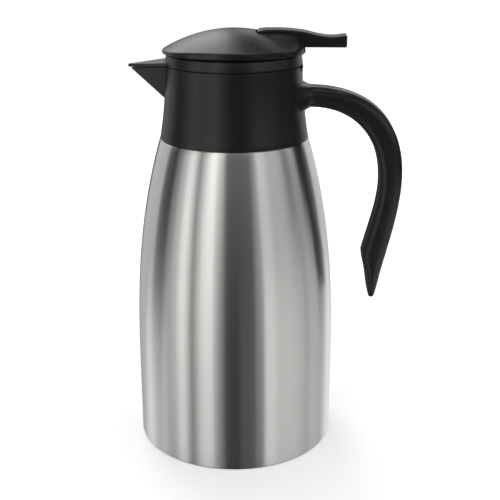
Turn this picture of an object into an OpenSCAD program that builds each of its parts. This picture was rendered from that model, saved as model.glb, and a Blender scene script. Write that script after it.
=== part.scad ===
// Vacuum carafe with a flip lid, a thumb lever and a lift valve.
// Origin: centre of the base, on the surface it stands on.
// +Z up, spout towards -X, handle towards +X. Millimetres.

/* [View] */

// sub-part drawn on its own, or all

/* [Steel body] */

// largest radius of the outer shell
body_r = 62.5; // [50:0.5:80]
// height above which the shell starts to draw in
belly_z = 50; // [20:1:90]
// height of the edge between steel and collar
steel_top_z = 196.6; // [150:0.1:260]
// exponent of the draw-in curve
draw_pow = 2.55; // [1.5:0.05:4]
// sheet thickness of the outer shell
shell_t = 0.8; // [0.4:0.1:2]
// radius of the rolled base corner
base_corner_r = 1.2; // [1:0.1:6]
// height of the shell's lower edge above the table
shell_z0 = 0.4; // [0.4:0.1:4]
// width of the rolled base lip, inwards of the corner
base_lip_w = 5; // [1:0.1:8]
// width of the ledge the collar stands on
ledge_w = 3.2; // [1:0.1:6]
// width of the lip between the mouth and the shell's neck
neck_lip_w = 7; // [3:0.1:12]
// height of the neck's top above the edge between steel and collar
neck_h = 15.4; // [8:0.1:30]

/* [Flask and base] */

// gap between flask and outer shell
vacuum_gap = 5.2; // [2:0.1:10]
// sheet thickness of the flask
flask_t = 0.8; // [0.4:0.1:2]
// height of the flask's bottom above the table
flask_z0 = 9; // [5:0.5:20]
// distance between the flask's mouth and the collar's side
mouth_in = 12; // [8:0.5:20]
// thickness of the lip that closes the neck
lip_t = 1; // [0.5:0.1:2]
// side gap between base plate and shell corner
plate_gap = 0.2; // [0.1:0.05:1]
// height of the raised middle of the base plate
plate_rise = 3.9; // [1:0.1:6]
// distance of the raised middle from the plate's edge
plate_rim_w = 23.1; // [10:0.1:30]
// radius of the sealed port's cap
port_r = 5; // [2:0.5:10]
// thickness of the port's cap
port_t = 1; // [0.5:0.1:2]
// width of the foot ring
foot_w = 6.1; // [3:0.1:10]
// distance of the foot ring from the body's side
foot_inset = 2.9; // [1:0.1:6]

/* [Collar and spout] */

// height of the parting line between collar and lid above the steel's edge
collar_h = 44.2; // [30:0.1:70]
// radius of the collar at the parting line
collar_top_r = 41; // [30:0.1:50]
// how much wider the collar is at its lower edge
collar_flare = 4.1; // [1:0.1:10]
// step from the collar's lower edge out to the steel
collar_step = 0.1; // [0:0.05:1]
// exponent of the collar's flare
collar_pow = 1.9; // [1:0.1:3]
// wall of the collar
collar_t = 2.3; // [1.5:0.1:4]
// gap between plug flange and collar floor
floor_gap = 2.3; // [1.5:0.1:4]
// thickness of the collar's floor
floor_t = 1.8; // [1:0.1:3]
// reach of the spout's tip from the collar
tip_reach = 22.3; // [10:0.1:40]
// distance inside the collar where the parting line starts to fall
fall_in = 11; // [5:1:20]
// fall of the parting line from there to the tip
tip_fall = 2.8; // [0:0.1:6]
// thickness of the spout's roof at the tip
roof_t = 1.7; // [1:0.1:3]
// half width of the spout at the collar
spout_hw = 12.8; // [8:0.1:20]
// half width of the spout at the tip
tip_hw = 1.4; // [0.5:0.1:4]
// depth below the parting line where the keel meets the collar
keel_drop = 21.9; // [10:0.1:35]
// wall of the spout
spout_t = 1.7; // [1:0.1:3]
// width of the pouring slit in the spout's tip
notch_w = 1; // [0.5:0.1:2]
// depth of that slit
notch_d = 1; // [0.5:0.1:4]

/* [Seals] */

// gap between collar and lid
seam_gap = 0.6; // [0.2:0.05:1.5]
// width of the lid's gasket
gasket_w = 1.5; // [0.8:0.1:2]
// distance of the lid's gasket from the collar's side
gasket_inset = 0.6; // [0.2:0.1:1.5]
// height of the mouth and plug seals
seal_h = 1.4; // [0.8:0.1:3]
// width of the mouth seal
mouth_seal_w = 2.3; // [1:0.1:4]
// width of the plug seal
plug_seal_w = 2.5; // [1:0.1:4]
// how far the plug seal stands out past the plug's flange
plug_seal_out = 0.2; // [0:0.1:1]

/* [Lid] */

// radius of the hinge knuckles
knuckle_r = 1.7; // [1.4:0.1:4]
// distance of the hinge line inside the collar's side
hinge_inset = 1.6; // [0:0.1:4]
// height of the hinge line below the parting line
hinge_drop = 0.8; // [0:0.1:3]
// radius of the hinge pin
hinge_pin_r = 0.8; // [0.5:0.05:1.2]
// half length of the hinge
hinge_hw = 8; // [6:0.5:18]
// half width of the lid's knuckle
lug_hw = 3.5; // [2:0.1:8]
// side gap between knuckles
knuckle_gap = 0.3; // [0.1:0.05:1]
// room around a knuckle
knuckle_room = 0.35; // [0.2:0.05:1]
// how far the lid ring's band draws in at its top
band_taper = 0.7; // [0:0.1:1.2]
// gap between the lid ring's band and the dome's brim
band_gap = 1; // [0.2:0.1:2]
// thickness of the lid ring's deck
deck_t = 1.8; // [1:0.1:3]
// height of the deck's underside above the parting line
deck_rise = 1.6; // [0.5:0.1:4]
// distance of the dome's foot inside the collar's side
dome_foot_in = 2.3; // [1:0.1:5]
// how far the brim stands out past the collar's side
brim_out = 1.5; // [0.5:0.1:8]
// height of the brim's lower edge above the lid ring
brim_lift = 3.5; // [1:0.1:6]
// height of the brim's upright edge
brim_h = 3.2; // [1:0.1:8]
// width of the round between the dome and the brim's edge
crease_in = 0.6; // [0.3:0.1:3]
// height of the dome's top above the lid ring
dome_h = 17.1; // [10:0.1:30]
// radius of the dome's round
dome_round_r = 91.5; // [60:0.5:120]
// wall of the dome
dome_t = 2; // [1:0.1:3]
// wall of the housing beside the lever
housing_t = 2.15; // [1:0.05:4]
// depth of the housing's roof below the dome's top
housing_drop = 1.3; // [1:0.1:6]
// distance of the housing's front end before the lever's pin
housing_fore = 13.5; // [5:0.5:20]
// distance of the housing's rear end inside the brim
housing_in = 0.5; // [0.5:0.1:8]
// distance of the dome's screws inside the collar's side
screw_in = 4.9; // [4:0.1:8]
// angle of the dome's screws from the handle
screw_a = 100; // [60:1:130]

/* [Plug] */

// gap between the mouth's radius and the plug's wall
plug_in = 1; // [0.5:0.1:4]
// wall of the plug
plug_t = 2; // [1:0.1:3]
// how far the plug's flange stands out past the mouth
flange_lap = 2.2; // [1:0.1:4]
// how far the plug's top plate stands out past its wall
plug_top_out = 6; // [3:0.5:8]
// thickness of the plug's plates
plug_plate_t = 2; // [1:0.1:4]
// radius of the valve's seat hole
seat_r = 12; // [6:0.5:16]
// width of a pouring window
window_w = 14; // [6:0.5:20]
// height of a pouring window
window_h = 17; // [6:0.5:20]
// angle between the pouring windows
window_a = 38; // [25:1:60]

/* [Lever and valve] */

// half width of the lever
lever_hw = 6.75; // [4:0.05:10]
// gap between lever and slot, each side
lever_gap = 0.5; // [0.2:0.05:1.5]
// distance of the lever's pin inside the collar's side
pin_in = 15; // [10:0.5:24]
// depth of the lever's pin below the dome's top
pin_drop = 6.8; // [5:0.1:9]
// radius of the lever's pin
pin_r = 1.5; // [1:0.05:3]
// half width of the lever's inner arm
arm_hw = 4.6; // [3:0.1:6]
// radius of the valve's stem
stem_r = 2.2; // [1.5:0.05:4]
// length of stem above its clip
stem_end = 1.3; // [0.5:0.1:3]
// how far the valve's disc overlaps its seat
disc_lap = 3; // [1:0.1:6]
// thickness of the valve's disc
disc_t = 2; // [1:0.1:4]
// thickness of the valve's seal
valve_seal_t = 0.55; // [0.3:0.05:2]
// radius of the disc's hub
hub_r = 4.4; // [3:0.1:6]
// height of the disc's hub above the disc
hub_h = 4; // [1:0.5:8]
// thickness of the stem's clip
clip_t = 0.8; // [0.5:0.1:2]
// outer radius of the stem's clip
clip_r = 4.2; // [3:0.1:6]
// mean radius of the return spring
spring_r = 6; // [4:0.1:9]
// radius of the spring's wire
wire_r = 0.6; // [0.3:0.05:1]
// turns of the spring
spring_turns = 6; // [3:0.5:10]

/* [Handle] */

// width of the handle
handle_w = 19; // [12:0.5:30]
// largest edge round of the handle
handle_edge_r = 4.6; // [2:0.1:8]
// depth of the handle's upper side at its root below the parting line
root_top = 13.1; // [8:0.1:20]
// depth of the handle's lower side at its root below the parting line
root_low = 25.2; // [20:0.1:32]
// extra half width of the saddle on the collar
saddle_w = 15; // [0:0.5:25]
// extra height of the saddle, above and below
saddle_h = 2.8; // [0:0.1:6]
// length of the handle screws' shanks
hscrew_l = 14; // [8:0.5:20]
// radius of the handle screws
hscrew_r = 1.6; // [1:0.05:3]
// head radius of the handle screws
hscrew_head_r = 2.6; // [2:0.1:2.6]
// gap between the lower handle screw's head and the collar's floor
hscrew_gap = 0.3; // [0.1:0.1:2]
// distance between the handle screws
hscrew_pitch = 5.6; // [5.3:0.1:10]

/* [Fits] */

// radial running fit of a pin or stem
run_fit = 0.05; // [0.01:0.01:0.1]
// radial room of a screw in its hole
screw_fit = 0.05; // [0:0.01:0.3]

/* [Hidden] */

black = [0.10, 0.10, 0.11];
steel = [0.72, 0.71, 0.69];
grey = [0.45, 0.45, 0.46];
FR = 128;
FS = 40;

seam_z = steel_top_z + collar_h;
hinge_z = seam_z - hinge_drop;
hinge_x = collar_top_r - hinge_inset;
top_edge_r = collar_top_r + collar_flare + collar_step;
draw_in = body_r - top_edge_r;
base_lip_r = body_r - base_corner_r - base_lip_w;
plate_r = body_r - base_corner_r - plate_gap;
plate_mid_r = plate_r - plate_rim_w;
foot_out_r = body_r - foot_inset;
foot_in_r = foot_out_r - foot_w;
mouth_r = collar_top_r - mouth_in;
neck_r = mouth_r + neck_lip_w;
neck_top_z = steel_top_z + neck_h;
collar_z0 = steel_top_z + 0.2;
lip_z = neck_top_z + lip_t;
tip_x = collar_top_r + tip_reach;
fall_x = collar_top_r - fall_in;
keel_z = seam_z - keel_drop;
keel_x = collar_top_r + 0.5;
gasket_out_r = collar_top_r - gasket_inset;
gasket_in_r = gasket_out_r - gasket_w;
plug_flange_r = mouth_r + flange_lap;
plug_r = mouth_r - plug_in;
plug_top_r = plug_r + plug_top_out;
floor_r = plug_flange_r + floor_gap;
mouth_seal_r = floor_r + mouth_seal_w;
plug_seal_r = plug_flange_r + plug_seal_out;
plug_seal_in_r = plug_seal_r - plug_seal_w;
floor_z = lip_z + seal_h;
deck_z = seam_z + deck_rise;
deck_top_z = deck_z + deck_t;
plug_floor_z = lip_z + seal_h;
plug_floor_top = plug_floor_z + plug_plate_t;
plug_top_z = deck_z - plug_plate_t;
valve_z0 = plug_floor_top + 0.05;
disc_z = valve_z0 + valve_seal_t;
disc_top = disc_z + disc_t;
dome_foot_r = collar_top_r - dome_foot_in;
brim_r = collar_top_r + brim_out;
brim_z0 = deck_top_z + brim_lift;
brim_z1 = brim_z0 + brim_h;
dome_top_z = deck_top_z + dome_h;
slot_hw = lever_hw + lever_gap;
housing_hw = slot_hw + housing_t;
housing_z = dome_top_z - housing_drop;
pin_x = collar_top_r - pin_in;
housing_x0 = pin_x - housing_fore;
housing_x1 = brim_r - housing_in;
screw_r0 = collar_top_r - screw_in;
pin_z = dome_top_z - pin_drop;
clip_z = pin_z - 2;
stem_top_z = clip_z + clip_t + stem_end;
disc_r = seat_r + disc_lap;
hscrew_z2 = floor_z + floor_t + hscrew_head_r + hscrew_gap;
hscrew_z1 = hscrew_z2 + hscrew_pitch;
spring_z0 = disc_top;
spring_z1 = plug_top_z - 0.8;
BIG = 400;

function body_at(z) = z <= belly_z ? body_r
    : body_r - draw_in * pow((z - belly_z) / (steel_top_z - belly_z), draw_pow);
function collar_at(z) = collar_top_r
    + collar_flare * pow(max(0, seam_z - z) / (seam_z - steel_top_z), collar_pow);
function seam_at(x) = x > -fall_x ? seam_z : seam_z + (x + fall_x) * tip_fall / (tip_x - fall_x);
function bez(p, t) = pow(1 - t, 3) * p[0] + 3 * t * pow(1 - t, 2) * p[1]
    + 3 * t * t * (1 - t) * p[2] + pow(t, 3) * p[3];

module ring(r0, r1, z0, z1, fn = FR) {
    translate([0, 0, z0]) difference() {
        cylinder(r = r1, h = z1 - z0, $fn = fn);
        translate([0, 0, -1]) cylinder(r = r0, h = z1 - z0 + 2, $fn = fn);
    }
}

module along_y(hw) {
    rotate([90, 0, 0]) translate([0, 0, -hw]) linear_extrude(2 * hw) children();
}

// everything under the parting surface moved by dz
module under_seam(dz) {
    along_y(60) polygon([[-80, 150], [80, 150], [80, seam_z + dz], [-fall_x, seam_z + dz],
        [-80, seam_at(-80) + dz]]);
}

/* ---- steel body ---- */

body_zs = [for (i = [0 : 12]) belly_z + i * (steel_top_z - 0.4 - belly_z) / 12];
shoulder = [[top_edge_r, steel_top_z], [top_edge_r - ledge_w, steel_top_z + 0.2],
    [top_edge_r - ledge_w - 0.9, steel_top_z + 4], [top_edge_r - ledge_w - 2.6, steel_top_z + 9],
    [neck_r + 1.2, steel_top_z + 13], [neck_r, neck_top_z - 1], [neck_r, neck_top_z]];

module outer_shell() {
    c = shell_z0 + base_corner_r;
    color(steel) rotate_extrude($fn = FR) union() {
        polygon(concat(
            [[body_r, c], [body_r, belly_z]],
            [for (z = body_zs) if (z > belly_z) [body_at(z), z]],
            shoulder,
            [for (i = [6 : -1 : 2]) [shoulder[i][0] - shell_t, shoulder[i][1] - (i > 4 ? 0 : 0.7)]],
            [[shoulder[1][0] - 0.5, steel_top_z - 0.6], [top_edge_r - shell_t, steel_top_z - 0.8]],
            [for (i = [11 : -1 : 1]) [body_at(body_zs[i]) - shell_t, body_zs[i]]],
            [[body_r - shell_t, belly_z], [body_r - shell_t, c]]));
        intersection() {
            translate([body_r - base_corner_r, c]) difference() {
                circle(r = base_corner_r, $fn = 48);
                circle(r = base_corner_r - shell_t, $fn = 48);
            }
            translate([body_r - base_corner_r, shell_z0 - 1]) square([10, base_corner_r + 1]);
        }
        translate([base_lip_r, shell_z0]) square([body_r - base_corner_r - base_lip_r, shell_t]);
    }
}

flask_out = concat(
    [[0, flask_z0], [body_r - 32.5, flask_z0], [body_r - 18.5, flask_z0 + 1.2],
        [body_r - 10.5, flask_z0 + 4.8], [body_r - vacuum_gap - 0.9, flask_z0 + 13], [body_r - vacuum_gap, flask_z0 + 24]],
    [for (i = [0 : 7]) let (z = belly_z + i * (steel_top_z - 6.6 - belly_z) / 7) [body_at(z) - vacuum_gap, z]],
    [[top_edge_r - 7.8, steel_top_z + 1.4], [mouth_r + 3.8, steel_top_z + 9],
        [mouth_r + flask_t, steel_top_z + 12.8],
        [mouth_r + flask_t, neck_top_z]]);

module inner_flask() {
    n = len(flask_out);
    color(steel) rotate_extrude($fn = FR) polygon(concat(
        flask_out,
        [[neck_r, neck_top_z], [neck_r, lip_z], [mouth_r, lip_z]],
        [for (i = [n - 2 : -1 : 0]) [max(0, flask_out[i][0] - (i < 3 ? 0.3 : flask_t)),
            flask_out[i][1] + (i < 4 ? flask_t : i > n - 5 ? -0.5 : 0)]]));
}

module base_plate() {
    z = shell_z0 + shell_t;
    r = plate_mid_r;
    color(steel) rotate_extrude($fn = FR) polygon([[0, z + plate_rise], [r, z + plate_rise],
        [r + 4, z], [plate_r, z], [plate_r, z + shell_t], [r + 4.4, z + shell_t],
        [r + 0.4, z + plate_rise + shell_t], [0, z + plate_rise + shell_t]]);
}

module vacuum_port_cap() {
    z = shell_z0 + shell_t + plate_rise;
    color(steel) translate([0, 0, z - port_t]) cylinder(r = port_r, h = port_t, $fn = FS);
}

module foot_ring() {
    color(black) rotate_extrude($fn = FR) polygon([[foot_in_r, 0], [foot_out_r - 0.3, 0],
        [foot_out_r, 0.3], [foot_out_r, shell_z0], [base_lip_r, shell_z0],
        [base_lip_r, shell_z0 + shell_t], [foot_in_r, shell_z0 + shell_t]]);
}

/* ---- collar ---- */

collar_zs = [for (i = [0 : 8]) collar_z0 + i * (seam_z - 6 - collar_z0) / 8];

module collar_solid(grow = 0) {
    rotate_extrude($fn = FR) polygon(concat([[0, collar_z0]],
        [for (z = collar_zs) [collar_at(z) + grow, z]],
        [[collar_top_r + grow, seam_z + 2], [0, seam_z + 2]]));
}

module collar_hollow() {
    rotate_extrude($fn = FR) polygon(concat([[0, collar_z0 - 1], [collar_at(collar_z0) - collar_t, collar_z0 - 1]],
        [for (z = collar_zs) if (z < floor_z) [collar_at(z) - collar_t, z]],
        [[collar_at(floor_z) - collar_t, floor_z], [floor_r, floor_z], [floor_r, floor_z + floor_t],
            [collar_at(floor_z + floor_t) - collar_t, floor_z + floor_t]],
        [for (z = collar_zs) if (z > floor_z + floor_t) [collar_at(z) - collar_t, z]],
        [[collar_top_r - collar_t, seam_z + 3], [0, seam_z + 3]]));
}

// unit vectors square to and along the keel, seen from the side
keel_len = norm([tip_x - 0.7 - keel_x, seam_at(-tip_x) - keel_z]);
kn = [(seam_at(-tip_x) - keel_z) / keel_len, (tip_x - 0.7 - keel_x) / keel_len];
kd = [kn[1], -kn[0]];
tip_p = [-tip_x + 0.7, seam_at(-tip_x)];
end_p = [-keel_x, keel_z];

// distance from the axis where the spout's flanks leave the collar
root_x = sqrt(collar_top_r * collar_top_r - spout_hw * spout_hw) - 0.4;

module ball(p, r) {
    translate([p[0], 0, p[1]]) sphere(r = r, $fn = 24);
}

module spout_solid() {
    hull() {
        ball(tip_p + tip_hw * kn, tip_hw);
        ball(end_p + 1.6 * kn, 1.6);
        translate([-root_x, -spout_hw, seam_z - 1.5]) cube([3, 2 * spout_hw, 3]);
        translate([-collar_top_r + 5, -3, keel_z]) cube([2, 6, 3]);
    }
}

module spout_hollow() {
    hull() {
        ball(tip_p + (spout_t + 0.8) * kn + 1.5 * kd, 0.8);
        ball(end_p + (spout_t + 0.9) * kn + 1.5 * kd, 0.9);
        translate([-collar_top_r + 4.5, -(spout_hw - spout_t), seam_z - 2])
            cube([2, 2 * (spout_hw - spout_t), 5]);
        translate([-collar_top_r + 6, -1.5, keel_z + 1.5]) cube([1, 3, 3]);
    }
}

module neck_collar() {
    color(black) difference() {
        union() {
            intersection() {
                union() {
                    difference() {
                        collar_solid();
                        collar_hollow();
                    }
                    difference() {
                        spout_solid();
                        translate([0, 0, collar_z0]) cylinder(r = collar_top_r - 1, h = 60, $fn = FR);
                    }
                }
                under_seam(-seam_gap / 2);
            }
            for (s = [-1, 1]) translate([0, s > 0 ? lug_hw + knuckle_gap : -hinge_hw, 0]) {
                translate([hinge_x, 0, hinge_z]) rotate([-90, 0, 0])
                    cylinder(r = knuckle_r, h = hinge_hw - lug_hw - knuckle_gap, $fn = FS);
                translate([hinge_x - 1.4, 0, hinge_z - 3])
                    cube([2.8, hinge_hw - lug_hw - knuckle_gap, 3]);
            }
        }
        spout_hollow();
        translate([-tip_x - 2, -notch_w / 2, seam_at(-tip_x) - notch_d]) cube([6, notch_w, 9]);
        translate([hinge_x, 0, hinge_z]) rotate([90, 0, 0]) translate([0, 0, -20])
            cylinder(r = hinge_pin_r, h = 40, $fn = FS);
        translate([hinge_x, 0, hinge_z]) rotate([90, 0, 0]) translate([0, 0, -lug_hw - knuckle_gap])
            cylinder(r = knuckle_r + knuckle_room, h = 2 * (lug_hw + knuckle_gap), $fn = FS);
        for (z = [hscrew_z1, hscrew_z2]) translate([collar_top_r - 11, 0, z]) rotate([0, 90, 0])
            cylinder(r = hscrew_r + screw_fit, h = 20, $fn = FS);
    }
}

module hinge_pin() {
    color(steel) translate([hinge_x, 0, hinge_z]) rotate([90, 0, 0])
        translate([0, 0, -hinge_hw + 0.3]) cylinder(r = hinge_pin_r, h = 2 * hinge_hw - 0.6, $fn = FS);
}

module mouth_seal() {
    color(grey) ring(floor_r, mouth_seal_r, lip_z, floor_z);
}

/* ---- handle ---- */

// curves of the handle's outer and inner side, counted out from the collar's
// side and down from the parting line
ho1 = [[5, -root_top], [37, -root_top - 0.2], [61.9, -28.8], [61.9, -68.8]];
hi1 = [[5, -root_low], [31, -root_low], [47.9, -42.8], [47.9, -71.8]];
ho2 = [[61.9, -68.8], [61.9, -84.8], [57.6, -102.8], [55, -113.8]];
hi2 = [[47.9, -71.8], [47.9, -84.8], [43.4, -98.8], [39.7, -113.6]];
// lower end: outer point, inner point, half width left
h_end = [[54.2, -117.4, 38.8, -117.3, 1],
    [53.1, -121.8, 39.3, -121.8, 1],
    [51, -130.8, 41.4, -130.8, 1],
    [49.1, -139, 42.7, -139, 1],
    [47.9, -143.8, 43.5, -143.8, 0.93],
    [46.9, -145.9, 44.6, -145.9, 0.8]];
root_us = [-6.4, -4.5, -2.5, -0.5, 1.5, 3.3];
function flare(u) = pow(max(0, 7 - u) / 12, 2);
// each station: outer u, z, inner u, z, half width, and its flare
h_st = concat(
    [for (u = root_us) [u, -root_top + saddle_h * flare(u), u, -root_low - saddle_h * flare(u),
        handle_w / 2 + saddle_w * flare(u), flare(u)]],
    [for (i = [0 : 13]) let (t = i / 14, o = bez(ho1, t), q = bez(hi1, t), f = flare(min(o[0], q[0])))
        [o[0], o[1], q[0], q[1], handle_w / 2 + saddle_w * f, f]],
    [for (i = [0 : 5]) let (t = i / 5, o = bez(ho2, t), q = bez(hi2, t))
        [o[0], o[1], q[0], q[1], handle_w / 2, 0]],
    [for (e = h_end) [e[0], e[1], e[2], e[3], e[4] * handle_w / 2, 0]]);
CORNER = 5;

// rounded rectangle: a across the thickness, b across the width
function section(s) = let (
    o = [s[0], s[1]], q = [s[2], s[3]], th = norm(o - q) / 2, n = (o - q) / (2 * th),
    m = (o + q) / 2, r = min(handle_edge_r + 5 * s[5], th - 0.25))
    [for (k = [0 : 3]) for (j = [0 : CORNER]) let (
        a = k * 90 + j * 90 / CORNER,
        ca = (k == 0 || k == 3 ? 1 : -1) * (th - r) + r * cos(a),
        cb = (k < 2 ? 1 : -1) * (s[4] - r) + r * sin(a))
        [m[0] + n[0] * ca, cb, m[1] + n[1] * ca]];

module handle_solid() {
    N = 4 * (CORNER + 1);
    S = len(h_st);
    pts = [for (s = h_st) each section(s)];
    translate([collar_top_r, 0, seam_z]) polyhedron(points = pts, convexity = 6, faces = concat(
        [[for (i = [0 : N - 1]) i]],
        [for (k = [0 : S - 2]) for (i = [0 : N - 1])
            [k * N + i, (k + 1) * N + i, (k + 1) * N + (i + 1) % N]],
        [for (k = [0 : S - 2]) for (i = [0 : N - 1])
            [k * N + i, (k + 1) * N + (i + 1) % N, k * N + (i + 1) % N]],
        [[for (i = [N - 1 : -1 : 0]) (S - 1) * N + i]]));
}

module handle() {
    color(black) difference() {
        handle_solid();
        collar_solid();
        for (z = [hscrew_z1, hscrew_z2]) translate([collar_top_r - 11, 0, z]) rotate([0, 90, 0])
            cylinder(r = hscrew_r + screw_fit, h = hscrew_l + 11, $fn = FS);
    }
}

module handle_screw(z) {
    color(steel) translate([0, 0, z]) rotate([0, 90, 0]) union() {
        translate([0, 0, collar_at(z) - collar_t - 2.3]) cylinder(r = hscrew_head_r, h = 1.9, $fn = FS);
        translate([0, 0, collar_at(z) - collar_t - 0.5]) cylinder(r = hscrew_r, h = hscrew_l, $fn = FS);
    }
}

module handle_screw_upper() {
    handle_screw(hscrew_z1);
}

module handle_screw_lower() {
    handle_screw(hscrew_z2);
}

/* ---- lid ---- */

module lid_ring() {
    b = collar_top_r - 2.5;
    color(black) difference() {
        union() {
            difference() {
                union() {
                    rotate_extrude($fn = FR) polygon([[5, deck_z], [b, deck_z], [b, seam_z - 4],
                        [collar_top_r, seam_z - 4], [collar_top_r, seam_z + 0.8],
                        [collar_top_r - band_taper, brim_z0 - band_gap],
                        [dome_foot_r + 0.3, brim_z0 - band_gap], [dome_foot_r + 0.3, deck_top_z],
                        [5, deck_top_z]]);
                    intersection() {
                        translate([0, 0, seam_z - 11]) linear_extrude(20) polygon([[-root_x + 3, spout_hw],
                            [-root_x, spout_hw], [-tip_x + 0.8, tip_hw], [-tip_x, tip_hw - 0.8],
                            [-tip_x, 0.8 - tip_hw], [-tip_x + 0.8, -tip_hw],
                            [-root_x, -spout_hw], [-root_x + 3, -spout_hw]]);
                        along_y(30) polygon([[-80, seam_z - 11], [-fall_x, seam_z - 11], [-fall_x, seam_z + 2.2],
                            [-tip_x, seam_at(-tip_x) + 0.3 + roof_t],
                            [-80, seam_at(-80) + 0.3 + roof_t]]);
                    }
                }
                under_seam(seam_gap / 2);
                for (s = [-1, 1]) translate([hinge_x, s > 0 ? hinge_hw + 0.5 : -lug_hw, hinge_z])
                    rotate([90, 0, 0])
                    cylinder(r = knuckle_r + knuckle_room, h = hinge_hw + 0.5 - lug_hw, $fn = FS);
            }
            translate([hinge_x, lug_hw, hinge_z]) rotate([90, 0, 0])
                cylinder(r = knuckle_r, h = 2 * lug_hw, $fn = FS);
        }
        translate([hinge_x, 20, hinge_z]) rotate([90, 0, 0])
            cylinder(r = hinge_pin_r + run_fit, h = 40, $fn = FS);
        for (s = [-1, 1]) rotate(s * screw_a) translate([screw_r0, 0, deck_z - 1])
            cylinder(r = 1.2 + screw_fit, h = 6, $fn = FS);
    }
}

module lid_gasket() {
    color(grey) difference() {
        intersection() {
            difference() {
                ring(gasket_in_r, gasket_out_r, seam_z - 4, seam_z + 2);
                under_seam(-seam_gap / 2 + 0.02);
            }
            under_seam(seam_gap / 2);
        }
        translate([hinge_x - 12, -hinge_hw - 1, seam_z - 5]) cube([20, 2 * hinge_hw + 2, 10]);
    }
}

module cap_round(top, R, r, z0, fn) {
    rotate_extrude($fn = fn) intersection() {
        translate([0, top - R]) circle(r = R, $fn = 240);
        translate([0, z0]) square([r, 40]);
    }
}

module dome_outer() {
    hull() {
        cap_round(dome_top_z, dome_round_r, brim_r - crease_in, brim_z1, 64);
        translate([0, 0, brim_z0 + 0.4]) cylinder(r = brim_r, h = brim_h - 0.4, $fn = 96);
        translate([0, 0, brim_z0]) cylinder(r = brim_r - 0.5, h = brim_h, $fn = 96);
        along_y(slot_hw) polygon([[housing_x0, brim_z1], [housing_x0, housing_z - 0.4],
            [housing_x0 + 5.5, housing_z], [housing_x1 - 10, housing_z],
            [housing_x1 - 5.2, housing_z - 0.9], [housing_x1 - 2, housing_z - 2.5],
            [housing_x1 - 0.6, housing_z - 4.6], [housing_x1, brim_z1]]);
    }
    translate([0, 0, deck_top_z]) cylinder(r = dome_foot_r, h = brim_z0 + 1 - deck_top_z, $fn = 96);
}

module dome_inner() {
    hull() {
        cap_round(dome_top_z - dome_t, dome_round_r - dome_t, dome_foot_r - 2.1, brim_z1, 64);
        translate([0, 0, deck_top_z - 1]) cylinder(r = dome_foot_r - 2.1, h = brim_z1 + 0.5 - deck_top_z,
            $fn = 64);
        along_y(slot_hw) polygon([[housing_x0, brim_z0 + 1], [housing_x0, housing_z - dome_t - 0.4],
            [housing_x1 - 5.4, housing_z - dome_t - 0.6],
            [housing_x1 - dome_t - 1, housing_z - 6], [housing_x1 - dome_t - 1, brim_z0 + 1]]);
    }
}

module dome_cover() {
    color(black) difference() {
        dome_outer();
        difference() {
            dome_inner();
            for (s = [-1, 1]) translate([housing_x0 + 3, s > 0 ? slot_hw : -housing_hw, deck_top_z])
                cube([40, housing_hw - slot_hw, 40]);
            for (s = [-1, 1]) rotate(s * screw_a) translate([screw_r0, 0, deck_top_z - 1])
                cylinder(r = 3.2, h = 30, $fn = FS);
        }
        // slot for the lever, lower at the rear so that the tail can come down
        translate([housing_x0 + 0.4, -slot_hw, deck_top_z + 0.8]) cube([26, 2 * slot_hw, 40]);
        translate([housing_x0 + 20, -slot_hw, brim_z0 + 0.8]) cube([40, 2 * slot_hw, 40]);
        translate([pin_x, housing_hw, pin_z]) rotate([90, 0, 0])
            cylinder(r = pin_r, h = 2 * housing_hw, $fn = FS);
        for (s = [-1, 1]) rotate(s * screw_a) translate([screw_r0, 0, deck_top_z - 1])
            cylinder(r = 1.2, h = 5.2, $fn = FS);
    }
}

module lever_pin() {
    color(steel) translate([pin_x, 0, pin_z]) rotate([90, 0, 0])
        translate([0, 0, -housing_hw]) cylinder(r = pin_r, h = 2 * housing_hw, $fn = FS);
}

module dome_screw() {
    translate([screw_r0, 0, deck_z - 1.1]) cylinder(r = 1.9, h = 1.1, $fn = FS);
    translate([screw_r0, 0, deck_z - 0.5]) cylinder(r = 1.2, h = 5.4, $fn = FS);
}

module dome_screw_left() {
    color(steel) rotate(screw_a) dome_screw();
}

module dome_screw_right() {
    color(steel) rotate(-screw_a) dome_screw();
}

/* ---- plug ---- */

module plug_body() {
    color(black) difference() {
        rotate_extrude($fn = FR) polygon([[seat_r, plug_floor_z], [plug_flange_r, plug_floor_z],
            [plug_flange_r, plug_floor_top], [plug_r, plug_floor_top], [plug_r, plug_top_z],
            [plug_top_r, plug_top_z], [plug_top_r, deck_z], [3.4, deck_z], [3.4, plug_top_z],
            [plug_r - plug_t, plug_top_z], [plug_r - plug_t, plug_floor_top],
            [seat_r, plug_floor_top]]);
        for (a = [-window_a, 0, window_a]) rotate(180 + a)
            translate([plug_r - plug_t - 4, -window_w / 2, plug_floor_top + 2.6])
            cube([10, window_w, window_h]);
        for (s = [-1, 1]) rotate(s * screw_a) translate([screw_r0, 0, plug_top_z - 1])
            cylinder(r = 2.2, h = 8, $fn = FS);
    }
}

module plug_seal() {
    color(grey) ring(plug_seal_in_r, plug_seal_r, lip_z, plug_floor_z);
}

module stem_bushing() {
    color(grey) difference() {
        union() {
            translate([0, 0, plug_top_z - 0.8]) cylinder(r = 7.6, h = 0.8, $fn = FS);
            translate([0, 0, plug_top_z - 0.4]) cylinder(r = 3.4, h = plug_plate_t + 0.4, $fn = FS);
        }
        translate([0, 0, plug_top_z - 10]) cylinder(r = stem_r + run_fit, h = 40, $fn = FS);
    }
}

/* ---- lever and valve ---- */

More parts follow.
